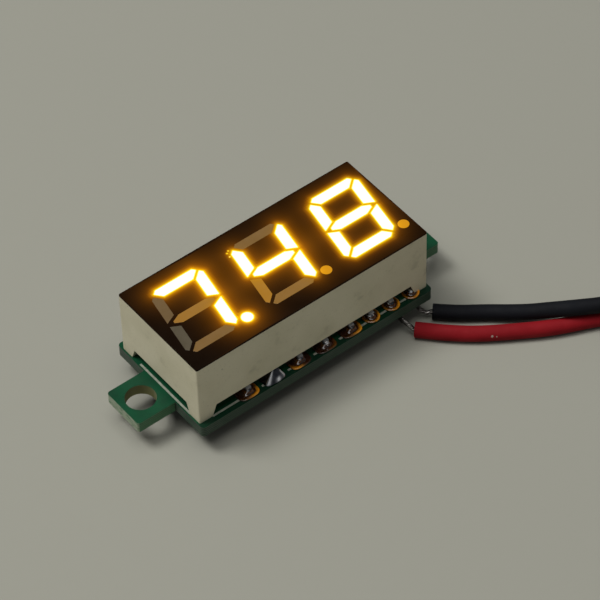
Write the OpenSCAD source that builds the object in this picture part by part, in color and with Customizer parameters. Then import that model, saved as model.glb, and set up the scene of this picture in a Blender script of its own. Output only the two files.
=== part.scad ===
// Three-digit LED panel meter: a display package soldered to a small
// circuit board with two fixing ears and a pair of supply wires.
// Millimetres. X runs along the digits, Y towards their tops, Z out of the
// display face. The origin is on the resting surface, under the middle.

/* [Display body] */
// Length of the display body
body_l = 22.5; // [21.6:0.1:26]
// Width of the display body
body_w = 10; // [9.6:0.1:12]
// Height of the display body above the board, feet and face film included
body_h = 6.2; // [5.4:0.1:9]
// Thickness of the side walls round the potting
wall = 0.6; // [0.4:0.05:0.7]
// Radius of the body's upright edges
body_r = 0.15; // [0.1:0.05:0.3]
// Height of the arches between the feet
arch_h = 1.1; // [1:0.05:1.4]
// Width of a foot where it stands on the board
foot_w = 1.25; // [0.9:0.05:1.5]
// How much wider a foot is at the top of the arch
foot_flare = 0.4; // [0.1:0.05:0.6]
// Thickness of the black face film
film_t = 0.12; // [0.05:0.01:0.3]

/* [Digits] */
// Height of a digit
digit_h = 7; // [6:0.1:7.4]
// Width of a digit across its strokes
digit_w = 4.9; // [4:0.1:5.1]
// Distance from one digit to the next
digit_pitch = 7.68; // [7.2:0.02:7.8]
// Lean of the digits in degrees
digit_slant = 10; // [0:1:12]
// Width of a stroke
stroke_w = 0.85; // [0.6:0.05:1]
// Gap between neighbouring strokes
stroke_gap = 0.3; // [0.15:0.05:0.4]
// Length of the blunt cut at the outer corner of a stroke
stroke_tip = 0.5; // [0.3:0.05:0.6]
// Height above the middle line at which the side strokes end
middle_clear = 0.18; // [0.1:0.02:0.3]
// Diameter of a decimal point
point_d = 0.93; // [0.7:0.01:1]
// Space between a decimal point and the stroke beside it
point_gap = 0.35; // [0.2:0.05:0.4]
// Height of a decimal point's centre above the foot of the digit
point_rise = 0.4; // [0.4:0.02:0.8]
// Size of a light well at its mouth as a share of the film's opening
well_mouth = 0.97; // [0.9:0.01:0.99]
// Size of a light well at its bottom as a share of its mouth
well_taper = 0.6; // [0.6:0.05:0.9]

/* [Display inside] */
// Thickness of the board that carries the light chips
substrate_t = 0.8; // [0.4:0.1:1.2]
// Thickness of the potting behind that board
potting_t = 1; // [0.6:0.1:1.4]
// Clearance round the inner board
substrate_clear = 0.05; // [0.02:0.01:0.15]
// Side of a light chip
chip_side = 0.3; // [0.2:0.02:0.32]
// Height of a light chip
chip_h = 0.2; // [0.1:0.02:0.4]

/* [Circuit board] */
// Thickness of the circuit board
board_t = 1; // [0.6:0.1:1.6]
// How far the board shows past the ends of the body
board_margin_x = 0.15; // [0.1:0.05:1]
// How far the board shows past the long sides of the body
board_margin_y = 0.55; // [0.5:0.05:1.5]
// Radius of the board's corners
board_r = 0.35; // [0.2:0.05:0.8]
// How far an ear reaches past the end of the board
ear_reach = 3.55; // [3.2:0.05:6]
// Width of an ear
ear_w = 4.1; // [3.6:0.1:6]
// Radius of an ear's corners
ear_r = 0.25; // [0.1:0.05:0.6]
// Diameter of the fixing hole in an ear
ear_hole_d = 2.5; // [2:0.1:2.6]
// Distance from the end of an ear to the centre of its hole
ear_hole_inset = 1.75; // [1.6:0.05:1.9]
// Width of the white printed outline
print_w = 0.25; // [0.15:0.01:0.3]
// Thickness of the print
print_t = 0.03; // [0.02:0.01:0.05]
// Gap between the print and a wide-spaced pad
print_pad_gap = 0.5; // [0.3:0.05:0.55]
// Gap between the print and a close-spaced pad
print_pad_gap_near = 0.14; // [0.1:0.02:0.2]
// Gap between the print and a foot
print_foot_gap = 0.05; // [0.02:0.01:0.1]
// How far the middle of the printed line lies outside the body
print_out = 0.08; // [0:0.01:0.15]

/* [Leads and solder] */
// Width of a display lead
lead_w = 0.45; // [0.3:0.05:0.5]
// Thickness of a display lead
lead_t = 0.3; // [0.2:0.05:0.3]
// Distance from the body's side to the middle of a lead in the board
lead_inset = 0.3; // [0.25:0.05:0.6]
// Depth of potting between the wall and the upper part of a lead
lead_cover = 0.1; // [0.05:0.05:0.3]
// Clearance between a lead and a foot of the display body
lead_clear = 0.06; // [0.03:0.01:0.1]
// Clearance of a foot round and over a pad
pad_relief = 0.02; // [0.01:0.01:0.03]
// Thickness of the skin left on a foot in front of a lead
foot_skin = 0.12; // [0.08:0.01:0.14]
// How far the rear leads stand out below the board; the meter stands on them
lead_below = 1.8; // [1.8:0.1:2.6]
// How far the front leads stand out below the board, trimmed
front_below = 0.95; // [0.9:0.05:1.2]
// Distance from the end of the body to the first front lead
lead_first = 4.88; // [4.6:0.02:5]
// Spacing of the first front leads
lead_pitch = 2.54; // [2.4:0.02:2.6]
// Spacing of the last front leads
lead_pitch_near = 2; // [1.9:0.02:2.1]
// Diameter of a soldering pad
pad_d = 1.45; // [1.3:0.05:1.6]
// Thickness of the copper
pad_t = 0.04; // [0.02:0.01:0.08]
// Diameter of a plated hole inside its copper
plated_d = 0.9; // [0.7:0.05:0.9]
// Height of the solder above the board
solder_top = 0.35; // [0.2:0.05:0.4]
// Diameter of the solder dome on the upper face
solder_top_d = 0.56; // [0.5:0.02:0.6]
// Height of the solder below the board
solder_under = 0.7; // [0.5:0.05:0.85]

/* [Parts under the board] */
// Length of the controller's body
controller_l = 6.5; // [5:0.1:7]
// Width of the controller's body
controller_w = 4.4; // [3.9:0.1:4.6]
// Height of the controller's body
controller_h = 1; // [0.7:0.05:1.2]
// Distance across the controller's leads
controller_span = 6.4; // [6.2:0.1:6.8]
// Spacing of the controller's leads
controller_pitch = 0.65; // [0.5:0.05:0.65]
// Length of the regulator's body
regulator_l = 4.5; // [4:0.1:4.7]
// Width of the regulator's body
regulator_w = 2.5; // [2:0.1:2.8]
// Height of the regulator's body
regulator_h = 1.5; // [1:0.05:1.6]
// Length of the diode's body
diode_l = 2.7; // [2.2:0.1:3]
// Width of the diode's body
diode_w = 1.6; // [1.2:0.1:1.8]
// Height of the diode's body
diode_h = 1.05; // [0.8:0.05:1.3]
// Length of a resistor
resistor_l = 1.6; // [1:0.1:1.8]
// Width of a resistor
resistor_w = 0.8; // [0.5:0.05:1]
// Height of a resistor
resistor_h = 0.45; // [0.3:0.05:0.6]
// Length of a capacitor
capacitor_l = 2; // [1.6:0.1:2.2]
// Width of a capacitor
capacitor_w = 1.25; // [0.8:0.05:1.3]
// Height of a capacitor
capacitor_h = 0.9; // [0.6:0.05:1.2]
// Length of the reservoir capacitor
reservoir_l = 3.2; // [2.8:0.1:3.4]
// Width of the reservoir capacitor
reservoir_w = 1.6; // [1.2:0.1:1.8]
// Height of the reservoir capacitor; the meter's front stands on it
reservoir_h = 1.8; // [1.4:0.05:1.8]
// Diameter of a supply wire's solder pad
wire_pad_d = 1.4; // [1:0.1:1.5]
// Height of the solder on a supply wire's pad
wire_solder_h = 0.65; // [0.5:0.05:0.8]

/* [Supply wires] */
// Diameter of a supply wire over its insulation
wire_d = 1.3; // [1.1:0.05:1.3]
// Diameter of the bare strands of a supply wire
core_d = 0.4; // [0.3:0.05:0.5]
// Length of the bare tinned end
tip_l = 5; // [3:0.5:8]
// Thickness of the tie round the coil
tie_t = 0.25; // [0.15:0.05:0.4]
// Width of the tie
tie_w = 2.2; // [1.5:0.1:3]

/* [Hidden] */
$fn = 32;
DIGITS = [1, 2, 3];
STROKES = ["a", "b", "c", "d", "e", "f", "g"];
DISPLAY_NODES = ["display_housing", "face_film", "inner_board", "light_chips", "rear_potting",
    "front_leads", "rear_leads"];
BOARD_NODES = ["main_board", "outline_print", "plated_holes", "front_solder", "rear_solder",
    "controller_body", "controller_leads", "regulator_body", "regulator_leads", "diode_body",
    "diode_leads", "resistor_bodies", "resistor_ends", "capacitor_bodies", "capacitor_ends",
    "reservoir_body", "reservoir_leads",
    "wire_pads", "wire_solder"];
WIRE_NODES = ["red_wire", "red_wire_core", "red_wire_coil", "red_wire_tip", "black_wire",
    "black_wire_core", "black_wire_coil", "black_wire_tip", "coil_tie"];
SEGMENT_NODES = [for (d = DIGITS) for (s = concat(STROKES, ["point"])) segment_name(d, s)];

// A cut runs this far past the face that it opens
past = 0.5;

// Levels, from the resting surface up
board_z = lead_below;
deck_z = board_z + board_t;
arch_z = deck_z + arch_h;
inner_z = arch_z + potting_t;
well_z = inner_z + substrate_t;
face_z = deck_z + body_h;
shell_top_z = face_z - film_t;

// Board and ears
board_l = body_l + 2 * board_margin_x;
board_w = body_w + 2 * board_margin_y;
ear_end = board_l / 2 + ear_reach;
ear_hole_x = ear_end - ear_hole_inset;

// Lead places: five wide gaps' worth of front leads, then three closer ones
lead_row = body_w / 2 - lead_inset;
wide_leads = 5;
near_leads = 3;
front_first = lead_first - body_l / 2;
front_turn = front_first + (wide_leads - 1) * lead_pitch;
front_xs = concat([for (i = [0 : wide_leads - 1]) front_first + i * lead_pitch],
    [for (i = [1 : near_leads]) front_turn + i * lead_pitch_near]);
rear_xs = [for (d = DIGITS) digit_x(d)];

// The lead is set over under the arch so that its upper part clears the wall
lead_set = wall + lead_cover - lead_inset + lead_t / 2;
lead_bend_top = arch_z - 0.3;
lead_bend_low = lead_bend_top - 0.35;

// Strokes of one digit about its own centre, before it leans
half_w = digit_w / 2;
half_h = digit_h / 2;
mitre = stroke_gap / sqrt(2);
tip = stroke_tip / 2;
bar = [[half_w - mitre - stroke_tip, half_h], [half_w - mitre - tip, half_h - tip],
    [half_w - mitre - stroke_w, half_h - stroke_w]];
top_stroke = concat(bar, [for (i = [len(bar) - 1 : -1 : 0]) [-bar[i][0], bar[i][1]]]);
side_stroke = [[half_w, half_h - mitre - stroke_tip], [half_w, middle_clear],
    [half_w - stroke_w, middle_clear + stroke_w / 2], [half_w - stroke_w, half_h - mitre - stroke_w],
    [half_w - tip, half_h - mitre - tip]];
middle_end = half_w + 2 * middle_clear - stroke_gap * sqrt(5);
middle_blunt = 0.2;
middle_half = [[middle_end - stroke_w, stroke_w / 2], [middle_end - middle_blunt, middle_blunt / 2]];
middle_right = concat(middle_half, [for (i = [1 : -1 : 0]) [middle_half[i][0], -middle_half[i][1]]]);
middle_stroke = concat(middle_right, flip(middle_right, -1, -1));
STROKE_SHAPES = [top_stroke, side_stroke, flip(side_stroke, 1, -1), flip(top_stroke, 1, -1),
    flip(side_stroke, -1, -1), flip(side_stroke, -1, 1), middle_stroke];
point_y = -half_h + point_rise;
point_x = half_w + lean(point_y) + point_gap + point_d / 2;

// Places of the parts under the board, seen from above
controller_at = [-4.6, 0];
controller_side_leads = 10;
controller_lead_w = 0.24;
controller_gap = 0.1;
bent_lead_t = 0.15;
bent_foot = 0.45;
regulator_at = [2.2, 1.2];
regulator_lead_t = 0.4;
regulator_lead_l = 0.9;
regulator_lead_w = 0.45;
regulator_tab_w = 1.6;
regulator_tab_l = 0.6;
diode_at = [7.4, 1.6];
diode_reach = 0.5;
diode_lead_w = 0.6;
diode_gap = 0.05;
reservoir_at = [-9.5, -3.3];
reservoir_lead_t = 0.12;
reservoir_lead_w = 1;
reservoir_foot = 0.7;
RESISTOR_SPOTS = [[-9.8, 2.2], [-9.8, 0.4], [-9.8, -1.4], [8.2, -1], [5.6, -0.8], [3.8, 3.9]];
resistor_end = 0.28;
CAPACITOR_SPOTS = [[2.2, -2.5], [5.4, -2.5]];
capacitor_end = 0.4;
end_proud = 0.02;
bevel = 0.07;
RED_PAD = [8.7, -lead_row + 1.3];
BLACK_PAD = [10.5, -lead_row + 1.5];

// Supply wires: each leaves its pad under the front edge, comes down to the
// surface and runs off to the right, where the rest is wound into one coil
floor_z = wire_d / 2;
over_z = 2.25;
RED_CORE = [[8.7, -3.5, 1.5], [8.5, -4.5, 1.15], [8.45, -5.3, 1], [8.6, -5.95, 0.9],
    [8.8, -6.5, floor_z]];
BLACK_CORE = [[10.5, -3.3, 1.5], [10.4, -4.3, 1.3], [10.3, -5.1, 1], [10.6, -5.6, 0.7],
    [11.1, -5.9, floor_z]];
RED_ROUTE = [[8.8, -6.5, floor_z], [10.5, -8.3, floor_z], [12.3, -9.9, floor_z],
    [14.6, -11.5, floor_z], [17.4, -13.2, floor_z], [20.8, -14.8, floor_z],
    [24.4, -16.9, floor_z], [28.4, -19.4, floor_z]];
BLACK_ROUTE = [[11.1, -5.9, floor_z], [12.6, -7.3, floor_z], [14.4, -8.7, floor_z],
    [15.73, -9.94, floor_z + 0.1 * wire_d], [16.83, -11.07, floor_z + 0.31 * wire_d],
    [17.88, -12.24, floor_z + 0.68 * wire_d], [18.98, -13.36, floor_z + 0.99 * wire_d],
    [19.93, -14.06, floor_z + 1.08 * wire_d], [20.94, -14.69, floor_z + 1.1 * wire_d],
    [23.2, -15.9, floor_z + 1.12 * wire_d], [26.2, -17.2, 2.2], [29.2, -18.6, over_z],
    [31.8, -19.7, over_z], [33.7, -20.4, over_z]];
coil_at = [37.5, -13.7];
coil_hole_r = 3.65;
black_turns = 3;
red_turns = 2;
coil_mid_r = coil_hole_r + black_turns * wire_d;
coil_out_r = coil_mid_r + red_turns * wire_d;
black_end_angle = 175;
red_end_angle = 177;
end_clear_angle = 3;
tie_angle = 75;

function digit_x(d) = (d - 2) * digit_pitch;
function segment_name(d, s) = s == "point" ? str("digit_", d, "_point") : str("digit_", d, "_segment_", s);
function lean(y) = y * tan(digit_slant);
function leaning(points) = [for (p = points) [p[0] + lean(p[1]), p[1]]];
function flip(points, sx, sy) = [for (p = points) [sx * p[0], sy * p[1]]];
function middle_of(points) = [for (k = [0, 1]) sum([for (p = points) p[k]]) / len(points)];
function sum(v, i = 0) = i < len(v) ? v[i] + sum(v, i + 1) : 0;
function unit(v) = v / norm(v);
function heading(route, i) =
    unit(route[min(i + 1, len(route) - 1)] - route[max(i - 1, 0)]);
function ring(route, i, r, sides, into) =
    let (t = is_undef(into) || i < len(route) - 1 ? heading(route, i) : into, side = unit(cross(t, [0, 0, 1])), up = cross(side, t))
    [for (k = [0 : sides - 1])
        route[i] + r * (cos(360 * (k + 0.5) / sides) * side + sin(360 * (k + 0.5) / sides) * up)];

// A plate with round corners, centred
module rounded(l, w, r) {
    square([l - 2 * r, w], center = true);
    square([l, w - 2 * r], center = true);
    for (x = [-1, 1], y = [-1, 1])
        translate([x * (l / 2 - r), y * (w / 2 - r)]) circle(r);
}

// A tube along a route, closed at both ends; its last face may square up to
// what it runs into
module tube(route, d, into) {
    sides = 8;
    last = len(route) - 1;
    r = d / 2 / cos(180 / sides);
    points = [for (i = [0 : last]) each ring(route, i, r, sides, into)];
    quads = [for (i = [0 : last - 1], k = [0 : sides - 1])
        let (n = (k + 1) % sides)
        [i * sides + k, i * sides + n, (i + 1) * sides + n, (i + 1) * sides + k]];
    ends = [[for (k = [sides - 1 : -1 : 0]) k], [for (k = [0 : sides - 1]) last * sides + k]];
    polyhedron(points, concat(quads, ends), convexity = 6);
}

// A block with its four sides bevelled to a waist, as moulded packages have
module package(l, w, h, z) {
    module profile(size) {
        polygon([[-size / 2 + bevel, 0], [size / 2 - bevel, 0], [size / 2, h / 2],
            [size / 2 - bevel, h], [-size / 2 + bevel, h], [-size / 2, h / 2]]);
    }
    translate([0, 0, z]) intersection() {
        rotate([90, 0, 0]) linear_extrude(w, center = true) profile(l);
        rotate([90, 0, 90]) linear_extrude(l, center = true) profile(w);
    }
}

// A lead bent out of a package's side and down to the board, pointing to +Y
module bent_lead(body, span, mid, width) {
    shoulder = body / 2 + 0.2;
    heel = span / 2 - bent_foot;
    rotate([90, 0, 90]) linear_extrude(width, center = true)
        polygon([[span / 2, 0], [span / 2, bent_lead_t], [heel + 0.06, bent_lead_t],
            [shoulder + 0.05, mid + bent_lead_t / 2], [body / 2 - bevel, mid + bent_lead_t / 2],
            [body / 2 - bevel, mid - bent_lead_t / 2], [shoulder - 0.06, mid - bent_lead_t / 2],
            [heel - 0.06, 0]]);
}

// Hangs its children under the board at a place
module under_board(at) {
    translate([at[0], at[1], board_z]) mirror([0, 0, 1]) children();
}

// Outline of one stroke or point, leaning, about the digit's centre
module segment_outline(s) {
    if (s == "point") translate([point_x, point_y]) circle(d = point_d);
    else polygon(leaning(STROKE_SHAPES[search(s, "abcdefg")[0]]));
}

// Centre of one stroke or point
function segment_centre(s) = s == "point" ? [point_x, point_y]
    : middle_of(leaning(STROKE_SHAPES[search(s, "abcdefg")[0]]));

// The light well of one stroke: its outline at the face, drawn in towards the chip
module segment_well(d, s) {
    c = segment_centre(s);
    mouth_z = face_z - film_t / 2;
    mouth_d = point_d * well_mouth;
    translate([digit_x(d) + c[0], c[1], mouth_z]) mirror([0, 0, 1])
        if (s == "point") cylinder(h = mouth_z - well_z, d1 = mouth_d, d2 = mouth_d * well_taper);
        else linear_extrude(mouth_z - well_z, scale = well_taper)
            scale(well_mouth) translate([-c[0], -c[1]]) segment_outline(s);
}

// White shell: walls on four flared corner feet, and the light wells
module display_housing() {
    color("#dcdad0") difference() {
        translate([0, 0, deck_z]) linear_extrude(shell_top_z - deck_z) rounded(body_l, body_w, body_r);
        rotate([90, 0, 0]) linear_extrude(body_w + 2 * past, center = true) arch(body_l);
        rotate([90, 0, 90]) linear_extrude(body_l + 2 * past, center = true) arch(body_w);
        translate([0, 0, (deck_z - past + well_z) / 2])
            cube([body_l - 2 * wall, body_w - 2 * wall, well_z - deck_z + past], center = true);
        for (d = DIGITS, s = concat(STROKES, ["point"])) segment_well(d, s);
        for (p = lead_spots()) translate([p[0], p[1], deck_z - past]) {
            cylinder(h = past + pad_t + pad_relief, d = pad_d + 2 * pad_relief);
            lead_relief(sign(p[1]));
        }
    }
}

// Room for a lead and its solder behind the thin outer skin of a foot
module lead_relief(side) {
    deep = lead_inset - foot_skin;
    translate([0, side * (deep - wall) / 2, (past + arch_h) / 2])
        cube([lead_w + 2 * lead_clear, deep + wall, past + arch_h], center = true);
}

// The opening between two feet, seen square on
module arch(size) {
    low = size / 2 - foot_w;
    high = low - foot_flare;
    polygon([[-low, deck_z - past], [low, deck_z - past], [low, deck_z], [high, arch_z],
        [-high, arch_z], [-low, deck_z]]);
}

// Black film with an opening for every stroke and point
module face_film() {
    color("#171310") translate([0, 0, shell_top_z]) linear_extrude(film_t) difference() {
        rounded(body_l, body_w, body_r);
        for (d = DIGITS, s = concat(STROKES, ["point"])) translate([digit_x(d), 0]) segment_outline(s);
    }
}

// Cured resin that fills one well, flush with the film
module segment(d, s) {
    color("#f2b62a") difference() {
        union() {
            translate([digit_x(d), 0, shell_top_z]) linear_extrude(film_t) segment_outline(s);
            segment_well(d, s);
        }
        light_chip(d, s);
    }
}

// One light chip at the bottom of a well
module light_chip(d, s) {
    c = segment_centre(s);
    translate([digit_x(d) + c[0], c[1], well_z + chip_h / 2])
        cube([chip_side, chip_side, chip_h], center = true);
}

module light_chips() {
    color("#c8b45a") for (d = DIGITS, s = concat(STROKES, ["point"])) light_chip(d, s);
}

// Board inside the display that carries the chips
module inner_board() {
    color("#2f6b4a") translate([0, 0, inner_z + substrate_t / 2])
        cube([body_l - 2 * wall - 2 * substrate_clear, body_w - 2 * wall - 2 * substrate_clear,
            substrate_t], center = true);
}

// Resin behind the inner board, round the leads
module rear_potting() {
    color("#cfcab8") difference() {
        translate([0, 0, arch_z + potting_t / 2])
            cube([body_l - 2 * wall, body_w - 2 * wall, potting_t], center = true);
        front_leads();
        rear_leads();
    }
}

// Stamped lead: up through the board, set over under the arch, into the potting
module lead(low) {
    a = lead_t / 2;
    rotate([90, 0, 90]) linear_extrude(lead_w, center = true)
        polygon([[-a, low], [a, low], [a, lead_bend_low], [a + lead_set, lead_bend_top],
            [a + lead_set, inner_z], [-a + lead_set, inner_z], [-a + lead_set, lead_bend_top],
            [-a, lead_bend_low]]);
}

module front_leads() {
    color("#c9c9c6") for (x = front_xs) translate([x, -lead_row, 0]) lead(board_z - front_below);
}

module rear_leads() {
    color("#c9c9c6") for (x = rear_xs) translate([x, lead_row, 0]) mirror([0, 1, 0]) lead(0);
}

// Every place where a lead goes through the board
function lead_spots() = concat([for (x = front_xs) [x, -lead_row]], [for (x = rear_xs) [x, lead_row]]);

// Green board with its two ears, their fixing holes and the lead holes
module main_board() {
    color("#1f7a52") translate([0, 0, board_z]) linear_extrude(board_t) difference() {
        union() {
            rounded(board_l, board_w, board_r);
            rounded(2 * ear_end, ear_w, ear_r);
        }
        for (x = [-1, 1]) translate([x * ear_hole_x, 0]) circle(d = ear_hole_d);
        for (p = lead_spots()) translate(p) circle(d = plated_d + 2 * pad_t);
    }
}

// Gap that the print keeps from a pad
function print_gap(p) = p[1] < 0 && p[0] > front_turn - lead_pitch_near / 2
    ? print_pad_gap_near : print_pad_gap;

// White line round the body's place, broken at the pads and the feet
module outline_print() {
    mid_l = body_l + 2 * print_out;
    mid_w = body_w + 2 * print_out;
    color("#e9e9e2") translate([0, 0, deck_z]) linear_extrude(print_t) difference() {
        square([mid_l + print_w, mid_w + print_w], center = true);
        square([mid_l - print_w, mid_w - print_w], center = true);
        for (p = lead_spots()) translate(p) circle(d = pad_d + 2 * print_gap(p));
        for (x = [-1, 1], y = [-1, 1])
            translate([x * (body_l - foot_w) / 2, y * (body_w - foot_w) / 2])
                square(foot_w + 2 * print_foot_gap, center = true);
    }
}

// Copper barrel and pads of the lead holes
module plated_holes() {
    color("#b98a4e") for (p = lead_spots()) translate([p[0], p[1], 0]) difference() {
        union() {
            translate([0, 0, board_z]) cylinder(h = board_t, d = plated_d + 2 * pad_t);
            translate([0, 0, board_z - pad_t]) cylinder(h = pad_t, d = pad_d);
            translate([0, 0, deck_z]) cylinder(h = pad_t, d = pad_d);
        }
        translate([0, 0, board_z - past]) cylinder(h = board_t + 2 * past, d = plated_d);
    }
}

// Solder round one lead: a cone below, the fill of the barrel and a dome on top
module lead_solder() {
    rim = pad_d / 2 - 0.08;
    neck = 0.3;
    top = deck_z + pad_t;
    low = board_z - pad_t;
    dome = solder_top_d / 2;
    difference() {
        rotate_extrude() polygon([[0, low - solder_under], [neck, low - solder_under],
            [neck + 0.06, low - solder_under * 0.6], [neck + 0.18, low - solder_under * 0.25],
            [rim, low], [plated_d / 2, low], [plated_d / 2, top], [dome, top],
            [dome * 0.92, top + solder_top * 0.4], [dome * 0.7, top + solder_top * 0.75],
            [dome * 0.4, top + solder_top * 0.95], [0, top + solder_top]]);
        translate([0, 0, deck_z]) cube([lead_w, lead_t, 4 * body_h], center = true);
    }
}

module front_solder() {
    color("#b9bcbd") for (x = front_xs) translate([x, -lead_row, 0]) lead_solder();
}

module rear_solder() {
    color("#b9bcbd") for (x = rear_xs) translate([x, lead_row, 0]) lead_solder();
}

module controller_block() {
    package(controller_l, controller_w, controller_h, controller_gap);
}

module controller_body() {
    color("#26272a") under_board(controller_at) difference() {
        controller_block();
        translate([-controller_l / 2 + 0.8, controller_w / 2 - 0.8, controller_gap + controller_h - 0.08])
            cylinder(h = past, d = 0.7);
    }
}

module controller_leads() {
    mid = controller_gap + controller_h / 2;
    first = -(controller_side_leads - 1) / 2 * controller_pitch;
    color("#c9c9c6") under_board(controller_at) difference() {
        for (i = [0 : controller_side_leads - 1], turn = [0, 180])
            rotate(turn) translate([first + i * controller_pitch, 0, 0])
                bent_lead(controller_w, controller_span, mid, controller_lead_w);
        controller_block();
    }
}

module regulator_block() {
    package(regulator_l, regulator_w, regulator_h, 0);
}

module regulator_body() {
    color("#26272a") under_board(regulator_at) regulator_block();
}

module regulator_leads() {
    edge = regulator_w / 2 - bevel;
    color("#c9c9c6") under_board(regulator_at) difference() {
        union() {
            for (x = [-1, 0, 1])
                translate([x * regulator_l / 3, -edge - regulator_lead_l / 2, regulator_lead_t / 2])
                    cube([regulator_lead_w, regulator_lead_l, regulator_lead_t], center = true);
            translate([0, edge + regulator_tab_l / 2, regulator_lead_t / 2])
                cube([regulator_tab_w, regulator_tab_l, regulator_lead_t], center = true);
        }
        regulator_block();
    }
}

module diode_block() {
    package(diode_l, diode_w, diode_h, diode_gap);
}

module diode_body() {
    color("#2b2c2e") under_board(diode_at) diode_block();
}

module diode_leads() {
    span = diode_l + 2 * diode_reach + bent_foot;
    color("#c9c9c6") under_board(diode_at) difference() {
        for (turn = [90, -90])
            rotate(turn) bent_lead(diode_l, span, diode_gap + diode_h / 2, diode_lead_w);
        diode_block();
    }
}

// Moulded tantalum capacitor lying along X, with its leads folded under its ends
module reservoir_body() {
    color("#2b2c2e") difference() {
        under_board(reservoir_at) package(reservoir_l, reservoir_w, reservoir_h, 0);
        reservoir_leads();
    }
}

module reservoir_leads() {
    reach = reservoir_l / 2 + reservoir_lead_t;
    color("#c9c9c6") for (x = [-1, 1]) under_board(reservoir_at) {
        translate([x * (reach - reservoir_foot / 2), 0, reservoir_lead_t / 2])
            cube([reservoir_foot, reservoir_lead_w, reservoir_lead_t], center = true);
        translate([x * (reach - reservoir_lead_t / 2), 0, reservoir_h / 4])
            cube([reservoir_lead_t, reservoir_lead_w, reservoir_h / 2], center = true);
    }
}

// Bodies or end caps of the small parts, each part lying along X
module small_bodies(spots, l, w, h, end) {
    for (p = spots) under_board(p) translate([0, 0, h / 2]) cube([l - 2 * end, w, h], center = true);
}

module small_ends(spots, l, w, h, end) {
    for (p = spots, x = [-1, 1])
        under_board(p) translate([x * (l - end) / 2, 0, (h + end_proud) / 2])
            cube([end, w + 2 * end_proud, h + end_proud], center = true);
}

module resistor_bodies() {
    color("#1d1d20") small_bodies(RESISTOR_SPOTS, resistor_l, resistor_w, resistor_h, resistor_end);
}

module resistor_ends() {
    color("#c9c9c6") small_ends(RESISTOR_SPOTS, resistor_l, resistor_w, resistor_h, resistor_end);
}

module capacitor_bodies() {
    color("#a98a66") small_bodies(CAPACITOR_SPOTS, capacitor_l, capacitor_w, capacitor_h, capacitor_end);
}

module capacitor_ends() {
    color("#c9c9c6") small_ends(CAPACITOR_SPOTS, capacitor_l, capacitor_w, capacitor_h, capacitor_end);
}

module wire_pads() {
    color("#b98a4e") for (p = [RED_PAD, BLACK_PAD]) under_board(p) cylinder(h = pad_t, d = wire_pad_d);
}

module wire_solder() {
    r = wire_pad_d / 2 - 0.05;
    color("#b9bcbd") difference() {
        for (p = [RED_PAD, BLACK_PAD]) under_board(p)
            rotate_extrude() polygon(concat([[0, pad_t]],
                [for (a = [0 : 15 : 90]) [r * cos(a), pad_t + wire_solder_h * sin(a)]]));
        red_wire_core();
        black_wire_core();
    }
}

module red_wire_core() {
    color("#9a9a98") tube(RED_CORE, core_d, heading(RED_ROUTE, 0));
}

module black_wire_core() {
    color("#9a9a98") tube(BLACK_CORE, core_d, heading(BLACK_ROUTE, 0));
}

module red_wire() {
    color("#b3202c") tube(RED_ROUTE, wire_d);
}

module black_wire() {
    color("#141518") tube(BLACK_ROUTE, wire_d);
}

// Outer shape of the turns of one wire, seen as rings with a square section; its
// innermost turn ends at an angle and leaves room for the bare end
module coil_ring(inner, turns, end_angle) {
    r = inner + wire_d / 2;
    translate([coil_at[0], coil_at[1], tie_t]) difference() {
        rotate_extrude() translate([inner, 0]) square([turns * wire_d, wire_d]);
        intersection() {
            rotate_extrude() translate([inner - past, -past]) square([wire_d + past, wire_d + 2 * past]);
            sector(end_angle, end_angle + degrees_of(tip_l, r) + end_clear_angle, -past);
        }
    }
}

// Bare end that goes on along the innermost turn
module coil_tip(inner, end_angle) {
    r = inner + wire_d / 2;
    translate([coil_at[0], coil_at[1], tie_t]) intersection() {
        rotate_extrude() translate([r, wire_d / 2]) circle(d = core_d);
        sector(end_angle, end_angle + degrees_of(tip_l, r), 0);
    }
}

// A wedge of the coil's room between two angles, less than half a turn apart
module sector(from, to, z) {
    reach = 2 * coil_out_r;
    middle = (from + to) / 2;
    translate([0, 0, z]) linear_extrude(wire_d + 2 * past)
        polygon([[0, 0], for (a = [from, middle, to]) reach * [cos(a), sin(a)]]);
}

function degrees_of(arc, r) = arc / r * 180 / PI;

module red_wire_coil() {
    color("#b3202c") coil_ring(coil_mid_r, red_turns, red_end_angle);
}

module black_wire_coil() {
    color("#141518") coil_ring(coil_hole_r, black_turns, black_end_angle);
}

module red_wire_tip() {
    color("#b9bcbd") coil_tip(coil_mid_r, red_end_angle);
}

module black_wire_tip() {
    color("#b9bcbd") coil_tip(coil_hole_r, black_end_angle);
}

// Flat tie round the section of the coil
module coil_tie() {
    wide = coil_out_r - coil_hole_r;
    color("#1b1b1d") translate([coil_at[0], coil_at[1], 0]) rotate(tie_angle) intersection() {
        rotate_extrude() difference() {
            translate([coil_hole_r - tie_t, 0]) square([wide + 2 * tie_t, wire_d + 2 * tie_t]);
            translate([coil_hole_r, tie_t]) square([wide, wire_d]);
        }
        translate([coil_out_r, 0, 0]) cube([2 * coil_out_r, tie_w, 4 * wire_d], center = true);
    }
}

display_housing();
face_film();
inner_board();
light_chips();
rear_potting();
front_leads();
rear_leads();
for (d = DIGITS, s = concat(STROKES, ["point"]))
    segment(d, s);
main_board();
outline_print();
plated_holes();
front_solder();
rear_solder();
controller_body();
controller_leads();
regulator_body();
regulator_leads();
diode_body();
diode_leads();
resistor_bodies();
resistor_ends();
capacitor_bodies();
capacitor_ends();
reservoir_body();
reservoir_leads();
wire_pads();
wire_solder();
red_wire_core();
red_wire();
red_wire_coil();
red_wire_tip();
black_wire_core();
black_wire();
black_wire_coil();
black_wire_tip();
coil_tie();
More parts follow.
